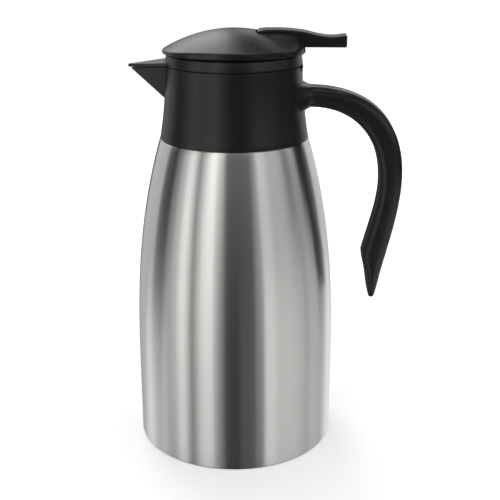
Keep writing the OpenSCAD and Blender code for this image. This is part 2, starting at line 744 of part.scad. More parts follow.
// lever's outline from the side, counted from its pin
lever_side = [[-12.4, 4.8], [-11.9, 5.6], [-10.7, 6.1], [-7.1, 6.5], [-1.8, 6.6], [3.6, 6.5], [10.7, 5.9],
    [14.3, 5.5], [17.8, 4.8], [21.4, 3.9], [25, 3.1], [28.6, 2.6], [31.4, 2.4], [33.9, 2.5],
    [37.5, 3], [39.8, 3.4], [40.5, 2.9], [40.5, -2.9], [39.8, -3.6], [17, -3.6], [14, -3.1],
    [8, -3.1], [4, -4.1], [-3.6, -4.1], [-6.6, -1.9], [-8.4, 1.9], [-11.6, 3.8]];
// inner arm from the side: it ends just past the stem, under the clip
arm_side = [[-2, -4.9], [-2, 0.5], [-9, 0.1], [-18, clip_z - 0.3 - pin_z],
    [-pin_x - 1, clip_z - 0.3 - pin_z], [-pin_x - 1, clip_z - 3.2 - pin_z],
    [-18, clip_z - 3.2 - pin_z]];

module thumb_lever() {
    color(black) difference() {
        union() {
            translate([pin_x, 0, pin_z]) along_y(lever_hw) polygon(lever_side);
            translate([pin_x, 0, pin_z]) along_y(arm_hw) polygon(arm_side);
        }
        translate([pin_x, 20, pin_z]) rotate([90, 0, 0])
            cylinder(r = pin_r + run_fit, h = 40, $fn = FS);
        translate([-6, -stem_r - 0.5, pin_z - 10]) cube([9.5, 2 * stem_r + 1, 20]);
    }
}

module valve_stem() {
    color(steel) difference() {
        translate([0, 0, disc_z - 0.3]) cylinder(r = stem_r, h = stem_top_z - disc_z + 0.3, $fn = FS);
        ring(stem_r - 0.6, stem_r + 1, clip_z, clip_z + clip_t, FS);
    }
}

module valve_disc() {
    color(grey) difference() {
        union() {
            translate([0, 0, disc_z]) cylinder(r = disc_r, h = disc_t, $fn = FR);
            translate([0, 0, disc_z]) cylinder(r = hub_r, h = disc_t + hub_h, $fn = FS);
        }
        translate([0, 0, disc_z - 1]) cylinder(r = stem_r, h = 20, $fn = FS);
    }
}

module valve_seal() {
    color(grey) ring(seat_r + 0.6, disc_r - 0.2, valve_z0, disc_z);
}

module stem_clip() {
    color(steel) difference() {
        ring(stem_r - 0.6, clip_r, clip_z, clip_z + clip_t, FS);
        translate([-10, -0.9, clip_z - 1]) cube([10, 1.8, 4]);
    }
}

// spring as one unbroken round tube; the end turns lie close together
SIDES = 6;
RINGS = 12 * spring_turns;
function lift_of(u) = let (e = 0.9 / spring_turns) u < e ? u * 0.35 : u > 1 - e ? 1 - (1 - u) * 0.35
    : e * 0.35 + (u - e) * (1 - 0.7 * e) / (1 - 2 * e);
function coil_at(u) = [spring_r * cos(360 * spring_turns * u), spring_r * sin(360 * spring_turns * u),
    spring_z0 + wire_r + 0.02 + lift_of(u) * (spring_z1 - spring_z0 - 2 * wire_r - 0.04)];

module return_spring() {
    pts = [for (k = [0 : RINGS]) let (u = k / RINGS, c = coil_at(u), a = 360 * spring_turns * u)
        for (j = [0 : SIDES - 1]) let (b = 360 * (j + 0.5) / SIDES)
        [c[0] + wire_r * cos(b) * cos(a), c[1] + wire_r * cos(b) * sin(a), c[2] + wire_r * sin(b)]];
    gap = min([for (k = [0 : RINGS - 12]) coil_at((k + 12) / RINGS)[2] - coil_at(k / RINGS)[2]])
        - 2 * wire_r;
    echo(spring_self_gap = gap);
    color(steel) polyhedron(points = pts, convexity = 20, faces = concat(
        [[for (j = [0 : SIDES - 1]) j]],
        [for (k = [0 : RINGS - 1]) for (j = [0 : SIDES - 1])
            [k * SIDES + j, (k + 1) * SIDES + j, (k + 1) * SIDES + (j + 1) % SIDES]],
        [for (k = [0 : RINGS - 1]) for (j = [0 : SIDES - 1])
            [k * SIDES + j, (k + 1) * SIDES + (j + 1) % SIDES, k * SIDES + (j + 1) % SIDES]],
        [[for (j = [SIDES - 1 : -1 : 0]) RINGS * SIDES + j]]));
}

outer_shell();
inner_flask();
base_plate();
vacuum_port_cap();
foot_ring();
neck_collar();
mouth_seal();
handle();
handle_screw_upper();
handle_screw_lower();
hinge_pin();
lid_ring();
lid_gasket();
dome_cover();
dome_screw_left();
dome_screw_right();
plug_body();
plug_seal();
stem_bushing();
lever_pin();
thumb_lever();
valve_stem();
valve_disc();
valve_seal();
stem_clip();
return_spring();
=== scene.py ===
import math

import bmesh
import bpy
from mathutils import Matrix, Vector


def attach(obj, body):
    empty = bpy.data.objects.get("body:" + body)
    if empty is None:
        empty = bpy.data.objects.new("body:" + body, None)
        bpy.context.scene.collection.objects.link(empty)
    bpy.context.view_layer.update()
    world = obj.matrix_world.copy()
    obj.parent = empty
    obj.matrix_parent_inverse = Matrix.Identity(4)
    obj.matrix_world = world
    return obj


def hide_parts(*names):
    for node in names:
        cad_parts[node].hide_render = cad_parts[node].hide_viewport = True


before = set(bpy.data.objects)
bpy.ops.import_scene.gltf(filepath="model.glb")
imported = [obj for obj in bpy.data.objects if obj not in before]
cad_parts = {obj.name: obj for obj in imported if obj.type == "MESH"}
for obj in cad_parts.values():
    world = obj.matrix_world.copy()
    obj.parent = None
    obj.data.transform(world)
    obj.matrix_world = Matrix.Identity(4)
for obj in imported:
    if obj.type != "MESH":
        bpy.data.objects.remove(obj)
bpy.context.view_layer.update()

MM = 0.001
STEPS = 128

# ---------------------------------------------------------------- sizes, mm

BODY_R, BELLY_Z, STEEL_TOP, DRAW_IN, DRAW_POW = 62.5, 50.0, 196.6, 17.3, 2.55
SHELL_T, SHELL_Z0, BASE_R, BASE_LIP = 0.8, 0.4, 1.2, 56.3
LEDGE_W, NECK_R, NECK_TOP = 3.2, 36.0, 212.0
VACUUM_GAP, MOUTH_R, LIP_Z = 5.2, 29.0, 213.0
SEAM_Z, COLLAR_R, FLARE, FLARE_POW, COLLAR_T = 240.8, 41.0, 4.1, 1.9, 2.3
COLLAR_Z0, FLOOR_R, FLOOR_Z = 196.8, 33.5, 214.4
TIP_X, FALL_X, TIP_FALL, SPOUT_HW = 63.3, 30.0, 2.8, 12.8
KEEL_X, KEEL_Z = 41.5, 218.9
HINGE_X, HINGE_Z, HINGE_HW, HINGE_PIN_R = 39.4, 240.0, 8.0, 0.8
KNUCKLE_R, KNUCKLE_ROOM, LUG_HW = 1.7, 0.35, 3.5
DECK_Z, DECK_TOP = 242.4, 244.2
BRIM_R, BRIM_Z0, DOME_TOP, DOME_SAG, DOME_T = 42.5, 247.8, 260.9, 10.2, 2.0
BAND_TOP = 246.6
DOME_FOOT_R, DOME_FOOT_IN = 38.7, 36.6
SLOT_HW, LEVER_HW, HOUSING_HW = 7.25, 6.75, 9.4
PIN_X, PIN_Z, PIN_R = 26.0, 254.5, 1.5
STEM_R, STEM_TOP, CLIP_Z = 2.2, 254.6, 252.5
PLUG_TOP, PLUG_FLOOR = 240.4, 216.4
VALVE_Z0, DISC_Z, DISC_TOP = 216.45, 217.0, 219.0
SPRING_Z1 = 239.6
SCREW_R0, SCREW_A = 36.1, 100


def body_at(z):
    if z <= BELLY_Z:
        return BODY_R
    return BODY_R - DRAW_IN * ((z - BELLY_Z) / (STEEL_TOP - BELLY_Z)) ** DRAW_POW


def collar_at(z):
    return COLLAR_R + FLARE * (max(0.0, SEAM_Z - z) / (SEAM_Z - STEEL_TOP)) ** FLARE_POW


def seam_at(x):
    return SEAM_Z if x > -FALL_X else SEAM_Z + (x + FALL_X) * TIP_FALL / (TIP_X - FALL_X)


# ---------------------------------------------------------------- materials


class Value:
    """A shader socket that can be used in sums, products and powers."""

    def __init__(self, look, socket):
        self.look, self.socket = look, socket

    def _math(self, op, a, b):
        return self.look.node("ShaderNodeMath", {"operation": op}, {0: a, 1: b})[0]

    def __add__(self, other):
        return self._math("ADD", self, other)

    __radd__ = __add__

    def __mul__(self, other):
        return self._math("MULTIPLY", self, other)

    __rmul__ = __mul__

    def __sub__(self, other):
        return self._math("SUBTRACT", self, other)

    def __rsub__(self, other):
        return self._math("SUBTRACT", other, self)

    def __pow__(self, other):
        return self._math("POWER", self, other)


class Look:
    """One material: a Principled shader and the nodes that vary it."""

    def __init__(self, name, base, rough, metal=0.0, **fixed):
        self.material = bpy.data.materials.new(name)
        self.material.use_nodes = True
        self.tree = self.material.node_tree
        self.shader = self.tree.nodes["Principled BSDF"]
        self.set("Base Color", (*base, 1.0))
        self.set("Roughness", rough)
        self.set("Metallic", metal)
        for socket, value in fixed.items():
            self.set(socket.replace("_", " "), value)
        self.place = self.node("ShaderNodeTexCoord", {}, {})["Object"]

    def set(self, socket, value):
        target = self.shader.inputs[socket]
        if isinstance(value, Value):
            self.tree.links.new(value.socket, target)
        else:
            target.default_value = value

    def node(self, kind, settings, sockets):
        made = self.tree.nodes.new(kind)
        for key, value in settings.items():
            if key == "stops":
                ramp = made.color_ramp
                while len(ramp.elements) < len(value):
                    ramp.elements.new(1.0)
                for element, (position, shade) in zip(ramp.elements, value):
                    element.position, element.color = position, (shade, shade, shade, 1.0)
            else:
                setattr(made, key, value)
        for key, value in sockets.items():
            if isinstance(value, Value):
                self.tree.links.new(value.socket, made.inputs[key])
            else:
                made.inputs[key].default_value = value
        return Sockets(self, made)

    def moved(self, scale=(1, 1, 1), place=None):
        return self.node("ShaderNodeMapping", {}, {"Vector": place or self.place, "Scale": scale})["Vector"]

    def noise(self, scale, detail=3.0, stretch=(1, 1, 1), rough=0.5):
        fed = {"Vector": self.moved(stretch), "Scale": scale, "Detail": detail, "Roughness": rough}
        return self.node("ShaderNodeTexNoise", {}, fed)[0]

    def ramp(self, value, *stops):
        return self.node("ShaderNodeValToRGB", {"stops": stops}, {"Fac": value})[0]

    def tint(self, factor, dark, light):
        return self.node("ShaderNodeMix", {"data_type": "RGBA"},
                         {0: factor, 6: (*dark, 1.0), 7: (*light, 1.0)})[2]

    def bump(self, height, strength, distance):
        fed = {"Height": height, "Strength": strength, "Distance": distance}
        normal = self.node("ShaderNodeBump", {}, fed)
        self.set("Normal", normal["Normal"])


class Sockets:
    """The outputs of one shader node, by name or number."""

    def __init__(self, look, made):
        self.look, self.made = look, made

    def __getitem__(self, key):
        return Value(self.look, self.made.outputs[key])


def brushed_steel():
    look = Look("brushed_steel_body", (0.75, 0.74, 0.72), 0.28, 1.0,
                Anisotropic=1.0, Anisotropic_Rotation=0.25)
    lines = look.noise(900.0, 4.0, (0.02, 0.02, 1.0))
    cloud = look.noise(14.0, 3.0)
    look.set("Roughness", 0.24 + 0.08 * lines + 0.03 * cloud)
    look.set("Base Color", look.tint(0.55 * lines + 0.45 * cloud, (0.70, 0.69, 0.67), (0.80, 0.79, 0.77)))
    look.bump(lines, 0.05, 0.0002)
    return look.material


def plain_steel(name="drawn_steel", base=(0.62, 0.61, 0.59), rough=0.24):
    look = Look(name, base, rough, 1.0)
    cloud = look.noise(40.0, 4.0)
    scuffs = look.noise(600.0, 2.0, (1.0, 1.0, 0.2))
    look.set("Roughness", (rough - 0.06) + 0.12 * cloud + 0.05 * scuffs)
    look.set("Base Color", look.tint(cloud, tuple(0.9 * c for c in base), base))
    look.bump(scuffs, 0.04, 0.0001)
    return look.material


def moulded_plastic(name, base, rough, grain=0.10, **fixed):
    """Satin moulded plastic: a fine sand-blasted grain, slightly uneven gloss."""
    look = Look(name, base, rough, 0.0, **fixed)
    sand = look.noise(2600.0, 2.0)
    cloud = look.noise(30.0, 3.0)
    look.set("Roughness", (rough - 0.05) + 0.08 * cloud + 0.04 * sand)
    look.set("Base Color", look.tint(cloud, tuple(0.88 * c for c in base), tuple(1.1 * c for c in base)))
    look.bump(sand, grain, 0.00012)
    return look.material


def silicone(name, base, rough=0.5):
    look = Look(name, base, rough, 0.0, IOR=1.42)
    dust = look.noise(700.0, 4.0)
    look.set("Roughness", (rough - 0.06) + 0.14 * dust)
    look.set("Base Color", look.tint(dust, tuple(0.85 * c for c in base), base))
    look.bump(dust, 0.06, 0.0001)
    return look.material


BLACK = (0.0095, 0.0095, 0.0098)
STEEL = brushed_steel()
FLASK_STEEL = plain_steel()
BASE_STEEL = plain_steel("turned_base_steel", (0.58, 0.57, 0.55), 0.34)
BRIGHT_STEEL = plain_steel("bright_steel", (0.64, 0.63, 0.61), 0.16)
SPRING_STEEL = plain_steel("spring_steel", (0.50, 0.49, 0.47), 0.22)
PLASTIC = moulded_plastic("satin_black_plastic", BLACK, 0.33)
HANDLE_PLASTIC = moulded_plastic("handle_black_plastic", BLACK, 0.34, 0.14)
INNER_PLASTIC = moulded_plastic("inner_black_plastic", (0.018, 0.018, 0.018), 0.5, 0.16)
PALE_PLASTIC = moulded_plastic("pale_bushing_plastic", (0.55, 0.54, 0.52), 0.42)
GREY_SILICONE = silicone("grey_silicone", (0.36, 0.36, 0.35))
BLACK_SILICONE = silicone("black_silicone", (0.008, 0.008, 0.008), 0.6)
FOOT_RUBBER = silicone("foot_rubber", (0.010, 0.010, 0.010), 0.7)

# ---------------------------------------------------------------- tools for shapes


def rounded(corners, turns=4, closed=True):
    """Profile with its corners rounded: each corner is (r, z) or (r, z, round)."""
    out, n = [], len(corners)
    for i, corner in enumerate(corners):
        point, radius = Vector(corner[:2]), corner[2] if len(corner) > 2 else 0.0
        if radius <= 0 or (not closed and i in (0, n - 1)):
            out.append(point)
            continue
        back = Vector(corners[i - 1][:2]) - point
        on = Vector(corners[(i + 1) % n][:2]) - point
        half = back.angle(on) / 2
        reach = min(radius / math.tan(half), 0.49 * back.length, 0.49 * on.length)
        a, b = point + back.normalized() * reach, point + on.normalized() * reach
        for k in range(turns + 1):
            t = k / turns
            out.append((1 - t) ** 2 * a + 2 * t * (1 - t) * point + t * t * b)
    return out


def finished(bm, name, finish, body, nodes=(), sharp=32.0):
    """Mesh object from a bmesh, with its finish, riding on its body."""
    bmesh.ops.remove_doubles(bm, verts=bm.verts, dist=1e-7)
    bmesh.ops.recalc_face_normals(bm, faces=bm.faces)
    mesh = bpy.data.meshes.new(name)
    bm.to_mesh(mesh)
    bm.free()
    piece = bpy.data.objects.new(name, mesh)
    bpy.context.scene.collection.objects.link(piece)
    return dressed(piece, finish, body, nodes, sharp)


def dressed(piece, finish, body, nodes=(), sharp=32.0):
    piece.data.materials.clear()
    piece.data.materials.append(finish)
    piece.data.shade_smooth()
    piece.data.set_sharp_from_angle(angle=math.radians(sharp))
    if body:
        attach(piece, body)
    if nodes:
        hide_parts(*nodes)
    return piece


def spun(profile, steps=STEPS, closed=True, place=(0, 0), axis="Z"):
    """bmesh of a profile in (r, z) turned about the upright axis through place."""
    bm = bmesh.new()
    verts = [bm.verts.new((r * MM, 0, z * MM)) for r, z in profile]
    pairs = zip(verts, verts[1:] + (verts[:1] if closed else []))
    edges = [bm.edges.new(pair) for pair in pairs]
    bmesh.ops.spin(bm, geom=verts + edges, cent=(0, 0, 0), axis=(0, 0, 1), angle=math.tau,
                   steps=steps, use_merge=True)
    bmesh.ops.remove_doubles(bm, verts=bm.verts, dist=1e-7)
    if axis == "Y":
        bmesh.ops.rotate(bm, verts=bm.verts, cent=(0, 0, 0), matrix=Matrix.Rotation(math.pi / 2, 3, "X"))
    if axis == "X":
        bmesh.ops.rotate(bm, verts=bm.verts, cent=(0, 0, 0), matrix=Matrix.Rotation(math.pi / 2, 3, "Y"))
    x, y, z = (*place, 0)[:3]
    bmesh.ops.translate(bm, verts=bm.verts, vec=(x * MM, y * MM, z * MM))
    return bm


def plate(outline, lo, hi, along="Y"):
    """bmesh of a flat outline pulled from lo to hi; outline is (x, z) along Y, or (x, y) along Z."""
    bm = bmesh.new()
    if along == "Y":
        verts = [bm.verts.new((a * MM, lo * MM, b * MM)) for a, b in outline]
        pull = (0, (hi - lo) * MM, 0)
    else:
        verts = [bm.verts.new((a * MM, b * MM, lo * MM)) for a, b in outline]
        pull = (0, 0, (hi - lo) * MM)
    face = bm.faces.new(verts)
    out = bmesh.ops.extrude_face_region(bm, geom=[face])
    bmesh.ops.translate(bm, verts=[v for v in out["geom"] if isinstance(v, bmesh.types.BMVert)], vec=pull)
    bmesh.ops.recalc_face_normals(bm, faces=bm.faces)
    return bm


def box(lo, hi):
    bm = bmesh.new()
    bmesh.ops.create_cube(bm, size=1.0)
    lo, hi = Vector(lo) * MM, Vector(hi) * MM
    bmesh.ops.scale(bm, verts=bm.verts, vec=hi - lo)
    bmesh.ops.translate(bm, verts=bm.verts, vec=(lo + hi) / 2)
    return bm


def rod(radius, lo, hi, place, axis="Y", steps=40, chamfer=0.2):
    """bmesh of a round rod from lo to hi along axis through place."""
    profile = [(0, lo), (radius - chamfer, lo), (radius, lo + chamfer), (radius, hi - chamfer),
               (radius - chamfer, hi), (0, hi)]
    if axis == "Y":
        profile = [(r, -z) for r, z in profile]
    return spun(profile, steps, False, place, axis)


def loose(bm, name="cutter"):
    """Plain object from a bmesh, for use in a cut or a join."""
    bmesh.ops.recalc_face_normals(bm, faces=bm.faces)
    mesh = bpy.data.meshes.new(name)
    bm.to_mesh(mesh)
    bm.free()
    thing = bpy.data.objects.new(name, mesh)
    bpy.context.scene.collection.objects.link(thing)
    return thing


def shaped(base, *steps):
    """base with each (operation, bmesh) applied in turn."""
    helpers = []
    for operation, bm in steps:
        helper = loose(bm)
        helpers.append(helper)
        change = base.modifiers.new("shape", "BOOLEAN")
        change.operation, change.object, change.solver = operation, helper, "EXACT"
    settle(base)
    for helper in helpers:
        bpy.data.objects.remove(helper)
    return base


def softened(base, width=0.25, segments=2, angle=30.0):
    """base with its edges rounded over."""
    soft = base.modifiers.new("soft", "BEVEL")
    soft.width, soft.segments, soft.limit_method = width * MM, segments, "ANGLE"
    soft.angle_limit = math.radians(angle)
    settle(base)
    return base


def settle(base):
    """Applies the modifiers of base to its mesh."""
    bpy.context.view_layer.update()
    graph = bpy.context.evaluated_depsgraph_get()
    mesh = bpy.data.meshes.new_from_object(base.evaluated_get(graph))
    base.modifiers.clear()
    base.data = mesh


CUT, JOIN, KEEP = "DIFFERENCE", "UNION", "INTERSECT"

# ---------------------------------------------------------------- jug


def steel_shell():
    c = SHELL_Z0 + BASE_R
    outer = [(BODY_R, c)] + [(BODY_R, z) for z in (14, 26, 38)]
    outer += [(body_at(z), z) for z in [BELLY_Z + i * (STEEL_TOP - 0.5 - BELLY_Z) / 44 for i in range(45)]]
    edge = STEEL_TOP - 0.05
    r = BODY_R - DRAW_IN
    shoulder = [(r - 0.12, edge - 0.05), (r - LEDGE_W, STEEL_TOP + 0.15), (r - LEDGE_W - 0.9, STEEL_TOP + 4),
                (r - LEDGE_W - 2.6, STEEL_TOP + 9), (NECK_R + 1.2, STEEL_TOP + 13), (NECK_R, NECK_TOP - 1),
                (NECK_R, NECK_TOP)]
    inner = [(a - SHELL_T, z - (0.7 if i else 0)) for i, (a, z) in enumerate(reversed(shoulder))]
    inner += [(body_at(z) - SHELL_T, z) for z in (190, 180, 165, 150, 130, 110, 90, 70)]
    inner += [(BODY_R - SHELL_T, BELLY_Z), (BODY_R - SHELL_T, c)]
    turn = [(math.cos(a), math.sin(a)) for a in [-i * math.pi / 16 for i in range(1, 9)]]
    inner += [(BODY_R - BASE_R + (BASE_R - SHELL_T) * u, c + (BASE_R - SHELL_T) * v) for u, v in turn]
    inner += [(BASE_LIP, SHELL_Z0 + SHELL_T), (BASE_LIP, SHELL_Z0)]
    inner += [(BODY_R - BASE_R + BASE_R * u, c + BASE_R * v) for u, v in reversed(turn)]
    finished(spun(outer + shoulder + inner, 160), "steel_shell", STEEL, "jug", ["outer_shell"])


def flask():
    out = [(0, 9), (30, 9), (44, 10.2, 8), (52, 13.8, 6), (56.4, 22, 6), (57.3, 33, 6)]
    out += [(body_at(z) - VACUUM_GAP, z) for z in range(50, 191, 10)]
    out += [(body_at(190) - VACUUM_GAP - 4.2, 198, 6), (MOUTH_R + 3.8, 205.6, 4), (MOUTH_R + 0.8, 209.4, 3),
            (MOUTH_R + 0.8, NECK_TOP, 0.6), (NECK_R, NECK_TOP, 0.2), (NECK_R, LIP_Z, 0.3),
            (MOUTH_R, LIP_Z, 0.5), (MOUTH_R, 208.9, 3), (MOUTH_R + 3.0, 205.1, 4),
            (body_at(190) - VACUUM_GAP - 5.0, 197.5, 6)]
    out += [(body_at(z) - VACUUM_GAP - 0.8, z) for z in range(190, 49, -10)]
    out += [(56.5, 33, 6), (55.6, 22.6, 6), (51.4, 14.6, 6), (43.8, 11.0, 8), (30, 9.8), (0, 9.8)]
    finished(spun(rounded(out, 4, False), 96, False), "vacuum_flask", FLASK_STEEL, "jug", ["inner_flask"])


def base():
    z = SHELL_Z0 + SHELL_T
    under = [(0, z + 3.9), (30, z + 3.9), (31, z + 3.5), (32, z + 3.9), (38, z + 3.9, 1.5),
             (42, z, 1.5), (48, z), (48.6, z + 0.25), (49.2, z), (61.0, z, 0.2)]
    top = [(61.0, z + 0.8, 0.2), (42.4, z + 0.8, 1.5), (38.4, z + 4.7, 1.5), (0, z + 4.7)]
    finished(spun(rounded(under + top, 4, False), 96, False), "base_pan", BASE_STEEL, "jug", ["base_plate"])
    cap = [(0, z + 2.9), (4.2, z + 2.9, 0.3), (5, z + 3.6, 0.2), (5, z + 3.9), (0, z + 3.9)]
    finished(spun(rounded(cap, 4, False), 48, False), "port_cap", BRIGHT_STEEL, "jug", ["vacuum_port_cap"])
    ring = [(53.5, 0, 0.3), (60.9, 0), (61.2, 0.3), (61.2, SHELL_Z0), (BASE_LIP, SHELL_Z0),
            (BASE_LIP, z), (53.5, z, 0.3)]
    finished(spun(rounded(ring)), "foot_ring_rubber", FOOT_RUBBER, "jug", ["foot_ring"])


def seam_block(dz, keep_below=True):
    """Everything under (or over) the parting surface moved by dz."""
    far = 90.0
    line = [(-far, seam_at(-far) + dz), (-FALL_X, SEAM_Z + dz), (far, SEAM_Z + dz)]
    end = 150.0 if keep_below else 300.0
    return plate(line + [(far, end), (-far, end)], -70, 70)


def spout_form(grow, top):
    """The spout's wedge, its walls moved in by grow."""
    tip = -TIP_X + 0.7 + grow * 1.9
    bm = bmesh.new()
    for x, y, z in [(tip, 1.1 - 0.3 * grow, top), (tip, 1.1 - 0.3 * grow, 240.2),
                    (tip + 0.3, 0.5, 238.1 + 0.5 * grow),
                    (-38.6 + grow, SPOUT_HW - grow, top), (-38.6 + grow, SPOUT_HW - grow, 240.0),
                    (-KEEL_X + 1.2 * grow, 0.5, KEEL_Z + 1.7 * grow),
                    (-35.0, SPOUT_HW - grow, top), (-35.0, 1.5, KEEL_Z + 1.2 * grow)]:
        bm.verts.new((x * MM, y * MM, z * MM))
        bm.verts.new((x * MM, -y * MM, z * MM))
    bmesh.ops.convex_hull(bm, input=bm.verts)
    return bm


def collar():
    zs = [COLLAR_Z0 + 0.35] + [200 + i * 3.0 for i in range(14)]
    outer = [(collar_at(COLLAR_Z0) - COLLAR_T, COLLAR_Z0), (collar_at(COLLAR_Z0) - 0.1, COLLAR_Z0, 0.35)]
    outer += [(collar_at(z), z) for z in zs] + [(COLLAR_R, SEAM_Z - 0.45, 0.45)]
    inner = [(COLLAR_R - COLLAR_T, SEAM_Z - 0.45, 0.3)]
    inner += [(collar_at(z) - COLLAR_T, z) for z in (236, 230, 224, 219)]
    inner += [(collar_at(216) - COLLAR_T, 216.2, 1.0), (FLOOR_R, 216.2, 0.5), (FLOOR_R, FLOOR_Z, 0.2),
              (collar_at(FLOOR_Z) - COLLAR_T, FLOOR_Z, 0.5)]
    inner += [(collar_at(z) - COLLAR_T, z) for z in (209, 203)]
    wall = loose(spun(rounded(outer + inner), 160))
    wedge = loose(spout_form(0.0, 246.0))
    shaped(wedge, (CUT, rod(COLLAR_R - 1.0, 150, 260, (0, 0), "Z", 160)))
    bevel = wedge.modifiers.new("keel", "BEVEL")
    bevel.width, bevel.segments, bevel.limit_method = 0.5 * MM, 3, "ANGLE"
    bevel.angle_limit = math.radians(40)
    settle(wedge)
    join = wall.modifiers.new("spout", "BOOLEAN")
    join.operation, join.object, join.solver = "UNION", wedge, "EXACT"
    settle(wall)
    bpy.data.objects.remove(wedge)
    shaped(wall, (CUT, spout_form(1.7, 252.0)), (KEEP, seam_block(-0.3)),
           (CUT, box((-TIP_X - 2, -0.5, 237.0), (-TIP_X + 4, 0.5, 250))))
    gap = LUG_HW + 0.3
    for side in (-1, 1):
        lo, hi = (gap, HINGE_HW) if side > 0 else (-HINGE_HW, -gap)
        shaped(wall, (JOIN, box((HINGE_X - 1.4, lo, HINGE_Z - 3), (HINGE_X + 1.4, hi, HINGE_Z))),
               (JOIN, rod(KNUCKLE_R, lo, hi, (HINGE_X, 0, HINGE_Z))))
    shaped(wall, (CUT, rod(KNUCKLE_R + KNUCKLE_ROOM, -gap, gap, (HINGE_X, 0, HINGE_Z), chamfer=0.01)),
           (CUT, rod(HINGE_PIN_R + 0.02, -20, 20, (HINGE_X, 0, HINGE_Z), chamfer=0.01)))
    softened(wall, 0.22, 2, 38)
    dressed(wall, PLASTIC, "jug", ["neck_collar"])
    wall.name = "collar_with_spout"


def bezier(points, t):
    a, b, c, d = (Vector(p) for p in points)
    return (1 - t) ** 3 * a + 3 * t * (1 - t) ** 2 * b + 3 * t * t * (1 - t) * c + t ** 3 * d


# outer and inner side of the handle as two curves each, and the corners of its free end
HANDLE_OUT = [[(46, 227.7), (78, 227.5), (102.9, 212), (102.9, 172)],
              [(102.9, 172), (102.9, 156), (98.6, 138), (96, 127)]]
HANDLE_IN = [[(46, 215.6), (72, 215.6), (88.9, 198), (88.9, 169)],
             [(88.9, 169), (88.9, 156), (84.4, 142), (80.7, 127.2)]]
HANDLE_END = [(95.2, 123.4, 79.8, 123.5, 1), (94.1, 119, 80.3, 119, 1), (92, 110, 82.4, 110, 1),
              (90.1, 101.8, 83.7, 101.8, 1), (88.9, 97, 84.5, 97, 0.94), (88.2, 95.3, 85.2, 95.3, 0.88),
              (87.4, 94.8, 86.0, 94.8, 0.8)]
HANDLE_HW = 9.5


def handle():
    """Rounded strap swept along the handle; its root spreads over the collar like a saddle."""
    stations = []
    for d in (-0.9, 0.0, 0.5, 1.0, 1.8, 2.8, 4.0):
        spread = max(0.0, 1 - (d + 0.9) / 7.5) ** 2.2
        stations.append((d, 227.7 + 2.9 * spread, d, 215.6 - 2.6 * spread, HANDLE_HW + 13.2 * spread, True))
    for k, count in ((0, 26), (1, 10)):
        for i in range(count):
            t = i / count
            o, q = bezier(HANDLE_OUT[k], t), bezier(HANDLE_IN[k], t)
            stations.append((o.x, o.y, q.x, q.y, HANDLE_HW, False))
    stations += [(a, b, c, d, HANDLE_HW * w, False) for a, b, c, d, w in
                 [(96, 127, 80.7, 127.2, 1)] + HANDLE_END]
    bm, last, turns = bmesh.new(), None, 5
    for ox, oz, ix, iz, half, root in stations:
        o, q = Vector((ox, oz)), Vector((ix, iz))
        thick = (o - q).length / 2
        n, m = (o - q).normalized(), (o + q) / 2
        r = min(4.8 if not root else 7.0, thick - 0.2)
        loop = []
        for k in range(4):
            for j in range(turns + 1):
                a = math.radians(90 * k + 90 * j / turns)
                u = (1 if k in (0, 3) else -1) * (thick - r) + r * math.cos(a)
                v = (1 if k < 2 else -1) * (half - r) + r * math.sin(a)
                x, z = m.x + n.x * u, m.y + n.y * u
                if root:
                    x = ix + math.sqrt(max(collar_at(z) ** 2 - v * v, 1.0))
                loop.append(bm.verts.new((x * MM, v * MM, z * MM)))
        edges = [bm.edges.new((loop[i], loop[(i + 1) % len(loop)])) for i in range(len(loop))]
        if last:
            bmesh.ops.bridge_loops(bm, edges=last + edges)
        else:
            bm.faces.new(loop)
        last, ring = edges, loop
    bm.faces.new(ring)
    finished(bm, "handle_grip", HANDLE_PLASTIC, "jug", ["handle"], 50)


def screw_head(radius, height, steps=40):
    """Pan head with a cross recess, its underside at 0 and its top at height."""
    pan = [(0, 0), (radius, 0, 0.15), (radius, height * 0.5, 0.5), (radius * 0.7, height, 0.4), (0, height)]
    head = loose(spun(rounded(pan, 4, False), steps, False))
    arm, width = radius * 0.62, radius * 0.11
    for a in (0, 90):
        blade = box((-arm, -width, height * 0.35), (arm, width, height + 1))
        bmesh.ops.rotate(blade, verts=blade.verts, cent=(0, 0, 0),
                         matrix=Matrix.Rotation(math.radians(a), 3, "Z"))
        shaped(head, (CUT, blade))
    return head


def placed(thing, matrix):
    thing.data.transform(matrix)
    return thing


def screws():
    for name, z in (("handle_screw_upper", 224.7), ("handle_screw_lower", 219.1)):
        x = collar_at(z) - COLLAR_T - 0.4
        head = screw_head(2.6, 1.9)
        placed(head, Matrix.Translation((x * MM, 0, z * MM)) @ Matrix.Rotation(-math.pi / 2, 4, "Y"))
        shaped(head, (JOIN, rod(1.6, x - 0.2, x + 13.6, (0, 0, z), "X", 32)))
        head.name = name + "_steel"
        dressed(head, BRIGHT_STEEL, "jug", [name])
    for name, a in (("dome_screw_left", SCREW_A), ("dome_screw_right", -SCREW_A)):
        head = screw_head(1.9, 1.1, 32)
        x, y = SCREW_R0 * math.cos(math.radians(a)), SCREW_R0 * math.sin(math.radians(a))
        placed(head, Matrix.Translation((x * MM, y * MM, DECK_Z * MM)) @ Matrix.Rotation(math.pi, 4, "X"))
        shaped(head, (JOIN, rod(1.2, DECK_Z - 0.3, DECK_Z + 4.8, (x, y), "Z", 24)))
        head.name = name + "_steel"
        dressed(head, BRIGHT_STEEL, "flip_lid", [name])


def pins():
    finished(rod(HINGE_PIN_R, -HINGE_HW + 0.3, HINGE_HW - 0.3, (HINGE_X, 0, HINGE_Z)),
             "hinge_pin_steel", BRIGHT_STEEL, "jug", ["hinge_pin"])
    finished(rod(PIN_R, -HOUSING_HW, HOUSING_HW, (PIN_X, 0, PIN_Z)), "lever_pin_steel", BRIGHT_STEEL,
             "flip_lid", ["lever_pin"])


